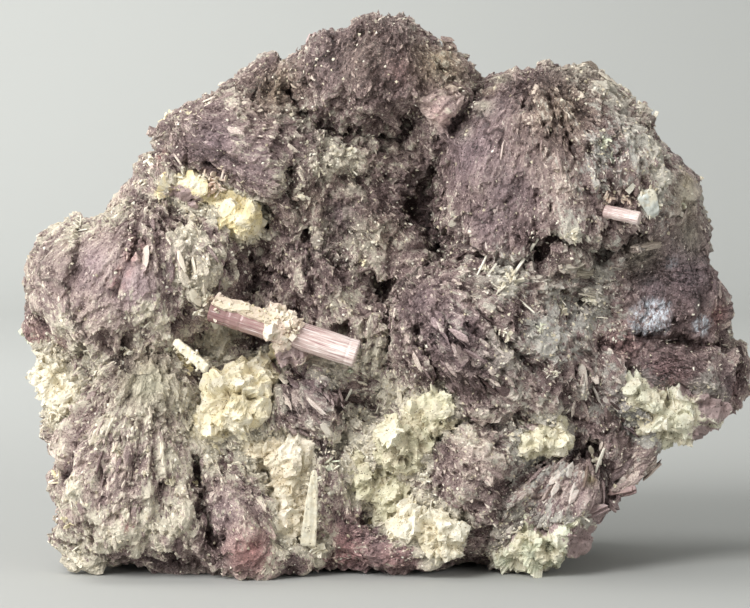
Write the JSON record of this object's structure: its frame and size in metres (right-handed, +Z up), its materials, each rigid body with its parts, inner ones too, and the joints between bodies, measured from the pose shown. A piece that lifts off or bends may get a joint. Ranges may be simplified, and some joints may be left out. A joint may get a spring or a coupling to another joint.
{
  "type": "raw lepidolite",
  "caption": "Hand-sized lump of raw lilac mica in rounded, ribbed lobes, crusted with cream albite and crossed by a pink tourmaline prism; stands on its broken base.",
  "frame": {"origin": "middle of the specimen's outline, on the table it stands on", "axes": "+X to the right across its best face, +Y from that face to its broken back, +Z up"},
  "size_m": [0.162, 0.0642, 0.121],
  "materials": {
    "lepidolite": "rough, with pearly mica flakes",
    "albite": "matt, platy",
    "tourmaline": "glassy, ribbed along its length",
    "quartz": "milky, glassy"
  },
  "bodies": {
    "root": {"lepidolite_mass": "lepidolite", "tourmaline_prism": "tourmaline", "tourmaline_stub": "tourmaline", "quartz_tablet": "quartz", "albite_blade_low": "albite", "albite_blade_left": "albite", "albite_centre": "albite", "albite_middle": "albite", "albite_foot": "albite", "albite_left_edge": "albite", "albite_upper_left": "albite", "albite_right": "albite", "albite_right_foot": "albite", "albite_lower_right": "albite", "albite_low_centre": "albite", "albite_collar": "albite"}
  },
  "joints": []
}
